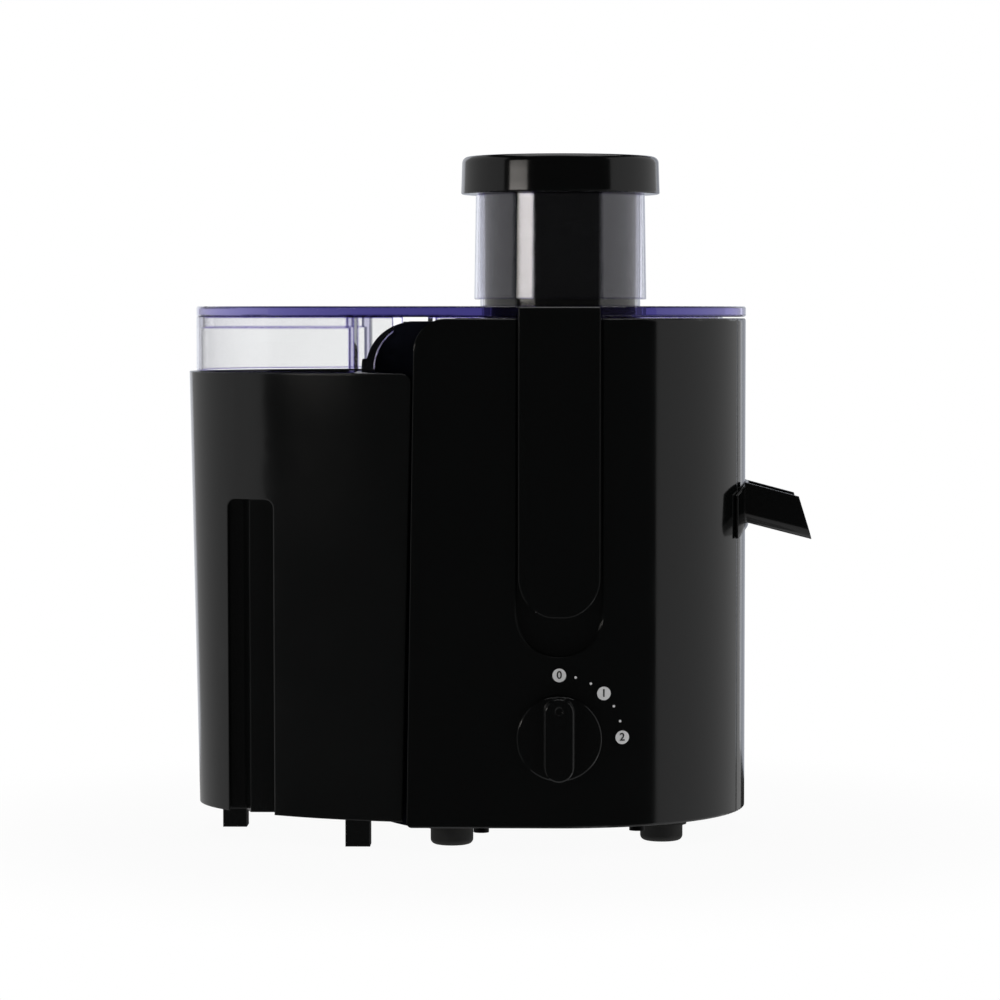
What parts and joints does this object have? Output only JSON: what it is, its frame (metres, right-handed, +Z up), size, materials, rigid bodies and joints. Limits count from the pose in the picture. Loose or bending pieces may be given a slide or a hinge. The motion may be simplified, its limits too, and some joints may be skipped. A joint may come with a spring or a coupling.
{
  "type": "centrifugal juicer",
  "caption": "Upright centrifugal juicer with a clear lid and feed tube, pusher, latches, speed knob, side pulp container, juice spout, motor and spinning filter basket.",
  "frame": {"origin": "on the table under the middle of the whole machine's bounding box", "axes": "+Z up, -Y out of the front with the knob, +X towards the juice spout, -X towards the pulp container"},
  "size_m": [0.2982, 0.1924, 0.3235],
  "materials": {
    "gloss_black": "polished moulded ABS",
    "satin_black": "satin moulded ABS",
    "clear": "clear moulded SAN",
    "dark_plastic": "fine texture",
    "rubber": "matt",
    "steel": "brushed",
    "copper": "enamelled wire",
    "aluminium": "as cast",
    "carbon": "pressed carbon"
  },
  "bodies": {
    "base": {"front_shell": "gloss_black", "rear_shell": "gloss_black", "drum_wall": "gloss_black", "juice_spout": "gloss_black", "lid": "clear", "base_plate": "dark_plastic", "motor_deck": "dark_plastic", "juice_bowl": "dark_plastic", "speed_switch": "dark_plastic", "interlock_switch": "dark_plastic", "brush_holders": "dark_plastic", "terminal_block": "dark_plastic", "rubber_feet": "rubber", "motor_bushes": "rubber", "shaft_seal": "rubber", "cord_inlet_bush": "rubber", "latch_pins": "steel", "base_screws": "steel", "motor_bolts": "steel", "motor_screws": "steel", "switch_nut": "steel", "upper_bearing": "steel", "lower_bearing": "steel", "stator_core": "steel", "field_coils": "copper", "upper_bracket": "aluminium", "lower_bracket": "aluminium", "carbon_brushes": "carbon"},
    "pusher": {"pusher_plunger": "dark_plastic", "pusher_sleeve": "clear", "pusher_cap": "gloss_black"},
    "front_latch": {"front_latch": "gloss_black"},
    "rear_latch": {"rear_latch": "gloss_black"},
    "knob": {"control_knob": "gloss_black", "switch_spindle": "steel"},
    "container": {"pulp_container": "satin_black"},
    "rotor": {"motor_shaft": "steel", "armature_core": "steel", "armature_windings": "copper", "commutator": "copper", "cooling_fan": "dark_plastic", "drive_coupling": "dark_plastic", "filter_basket": "dark_plastic", "strainer_mesh": "steel", "grater_disc": "steel"},
    "interlock": {"interlock_plunger": "dark_plastic"}
  },
  "joints": [
    {"name": "pusher_lift", "type": "slide", "parent": "base", "child": "pusher", "axis": [0, 0, 1], "range_m": [0, 0.13]},
    {"name": "front_latch_swing", "type": "hinge", "parent": "base", "child": "front_latch", "pos_m": [0.02915, -0.0818, 0.112], "axis": [1, 0, 0], "range_deg": [0, 45]},
    {"name": "rear_latch_swing", "type": "hinge", "parent": "base", "child": "rear_latch", "pos_m": [0.02915, 0.0922, 0.112], "axis": [-1, 0, 0], "range_deg": [0, 45]},
    {"name": "knob_turn", "type": "hinge", "parent": "base", "child": "knob", "pos_m": [0.02915, -0.0898, 0.0529], "axis": [0, 1, 0], "range_deg": [0, 90]},
    {"name": "container_slide", "type": "slide", "parent": "base", "child": "container", "axis": [-1, 0, 0], "range_m": [0, 0.2]},
    {"name": "basket_spin", "type": "hinge", "parent": "base", "child": "rotor", "pos_m": [0.02915, 0.0052, 0.18], "axis": [0, 0, 1], "continuous": true},
    {"name": "interlock_press", "type": "slide", "parent": "base", "child": "interlock", "axis": [0, -1, 0], "range_m": [0, 0.0015]}
  ],
  "couplings": [
    {"joint": "interlock_press", "follows": "front_latch_swing", "m_per_rad": 0.0019}
  ]
}
